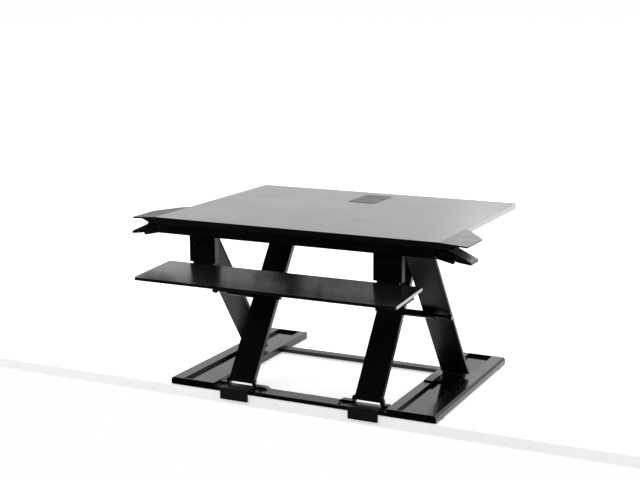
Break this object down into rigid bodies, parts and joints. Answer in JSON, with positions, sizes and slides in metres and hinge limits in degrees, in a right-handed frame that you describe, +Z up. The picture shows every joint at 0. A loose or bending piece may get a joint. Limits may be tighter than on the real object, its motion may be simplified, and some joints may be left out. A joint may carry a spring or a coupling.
{
  "type": "standing desk converter",
  "caption": "Desktop riser with a worktop on crossed legs, hand wings with squeeze levers, a hanging tilting keyboard tray and a low base that hooks on the desk's front edge.",
  "frame": {"origin": "on the desk's top, under the middle of the front bar's pad", "axes": "+X to the right of a person at the desk, +Y away from them, +Z up"},
  "size_m": [0.972, 0.7906, 0.494],
  "materials": {
    "frame_paint": "black satin powder coat",
    "base_paint": "black gloss paint",
    "bright": "bright zinc plate",
    "plastic": "fine black grain",
    "laminate": "black satin laminate on board",
    "rubber": "matt"
  },
  "bodies": {
    "base": {"front_bar": "base_paint", "rear_bar": "base_paint", "left_base_tray": "base_paint", "right_base_tray": "base_paint", "leg_hinge_brackets": "frame_paint", "desk_hooks": "plastic", "base_pads": "rubber", "leg_hinge_pins": "bright", "base_screws": "bright"},
    "front_legs": {"left_front_leg": "frame_paint", "right_front_leg": "frame_paint", "centre_bolts": "bright", "pivot_spacers": "frame_paint", "top_pins": "bright"},
    "rear_legs": {"left_rear_leg": "frame_paint", "right_rear_leg": "frame_paint", "top_shaft": "bright", "foot_pins": "bright"},
    "foot_glides": {"left_foot_glide": "plastic", "right_foot_glide": "plastic"},
    "carriage": {"left_top_glide": "plastic", "right_top_glide": "plastic", "carriage_bar": "frame_paint", "brake_block": "plastic"},
    "platform": {"worktop": "laminate", "mount_cover": "plastic", "left_wing": "plastic", "right_wing": "plastic", "front_apron": "frame_paint", "left_top_rail": "frame_paint", "right_top_rail": "frame_paint", "top_hinge_blocks": "frame_paint", "rear_beam": "frame_paint", "brake_rod": "bright", "lift_springs": "bright", "spring_anchors": "frame_paint", "rod_guides": "plastic", "lever_brackets": "frame_paint", "lever_pins": "bright", "left_hanger": "frame_paint", "right_hanger": "frame_paint", "hanger_screws": "bright", "left_tray_post": "frame_paint", "right_tray_post": "frame_paint"},
    "left_lever": {"left_lever": "plastic"},
    "right_lever": {"right_lever": "plastic"},
    "left_release": {"left_release_rod": "bright"},
    "right_release": {"right_release_rod": "bright"},
    "tray": {"keyboard_tray": "laminate", "left_tray_arm": "frame_paint", "right_tray_arm": "frame_paint", "tray_tilt_pins": "bright"},
    "tilt_lever": {"tilt_lever": "plastic"}
  },
  "joints": [
    {"name": "lift", "type": "hinge", "parent": "base", "child": "front_legs", "pos_m": [0, 0.0145, 0.025], "axis": [1, 0, 0], "range_deg": [-46, 17.5]},
    {"name": "scissor", "type": "hinge", "parent": "front_legs", "child": "rear_legs", "pos_m": [0, 0.16142, 0.23097], "axis": [1, 0, 0], "range_deg": [-35, 92]},
    {"name": "top_pivot", "type": "hinge", "parent": "rear_legs", "child": "platform", "pos_m": [0, 0.0145, 0.43694], "axis": [1, 0, 0], "range_deg": [-46, 17.5]},
    {"name": "foot_pivot", "type": "hinge", "parent": "rear_legs", "child": "foot_glides", "pos_m": [0, 0.30834, 0.025], "axis": [1, 0, 0], "range_deg": [-46, 17.5]},
    {"name": "carriage_pivot", "type": "hinge", "parent": "front_legs", "child": "carriage", "pos_m": [0, 0.30834, 0.43694], "axis": [1, 0, 0], "range_deg": [-17.5, 46]},
    {"name": "left_squeeze", "type": "hinge", "parent": "platform", "child": "left_lever", "pos_m": [-0.421, -0.026, 0.44594], "axis": [0, 1, 0], "range_deg": [0, 12], "stiffness_Nm_per_rad": 0.6, "springref_deg": -8.59},
    {"name": "right_squeeze", "type": "hinge", "parent": "platform", "child": "right_lever", "pos_m": [0.421, -0.026, 0.44594], "axis": [0, -1, 0], "range_deg": [0, 12], "stiffness_Nm_per_rad": 0.6, "springref_deg": -8.59},
    {"name": "left_release_slide", "type": "slide", "parent": "platform", "child": "left_release", "axis": [1, 0, 0], "range_m": [0, 0.002]},
    {"name": "right_release_slide", "type": "slide", "parent": "platform", "child": "right_release", "axis": [-1, 0, 0], "range_m": [0, 0.002]},
    {"name": "tray_tilt", "type": "hinge", "parent": "platform", "child": "tray", "pos_m": [0, -0.044, 0.34394], "axis": [1, 0, 0], "range_deg": [-13, 3]},
    {"name": "tilt_squeeze", "type": "hinge", "parent": "tray", "child": "tilt_lever", "pos_m": [0.32, -0.1019, 0.3405], "axis": [1, 0, 0], "range_deg": [-5, 0], "stiffness_Nm_per_rad": 0.3, "springref_deg": 5.73}
  ],
  "couplings": [
    {"joint": "scissor", "follows": "lift", "ratio": -2},
    {"joint": "top_pivot", "follows": "lift", "ratio": 1},
    {"joint": "foot_pivot", "follows": "lift", "ratio": 1},
    {"joint": "carriage_pivot", "follows": "lift", "ratio": -1},
    {"joint": "left_release_slide", "follows": "left_squeeze", "m_per_rad": 0.0095},
    {"joint": "right_release_slide", "follows": "right_squeeze", "m_per_rad": 0.0095}
  ]
}
